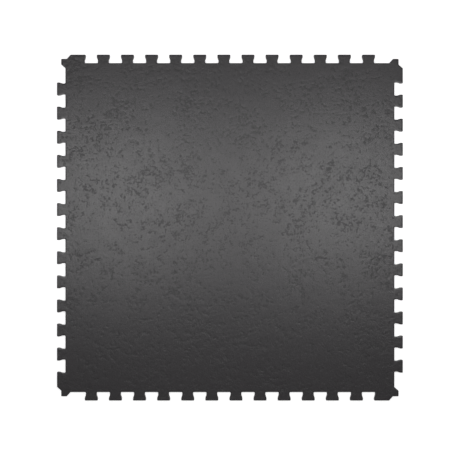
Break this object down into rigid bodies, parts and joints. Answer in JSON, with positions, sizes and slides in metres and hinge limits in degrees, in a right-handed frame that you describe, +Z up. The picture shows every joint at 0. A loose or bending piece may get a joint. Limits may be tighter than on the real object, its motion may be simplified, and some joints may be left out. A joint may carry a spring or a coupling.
{
  "type": "interlocking floor tile",
  "caption": "Square charcoal PVC floor tile with dovetail teeth and sockets along all four edges, which lock into the same tile on any side.",
  "frame": {"origin": "centre of the underside, where the tile lies on the floor", "axes": "+Z up out of the textured wear face; +X and +Y square to the edges, which repeat every quarter turn about +Z"},
  "size_m": [0.5124, 0.5124, 0.007],
  "materials": {
    "pvc": "satin"
  },
  "bodies": {
    "root": {"floor_tile": "pvc"}
  },
  "joints": []
}
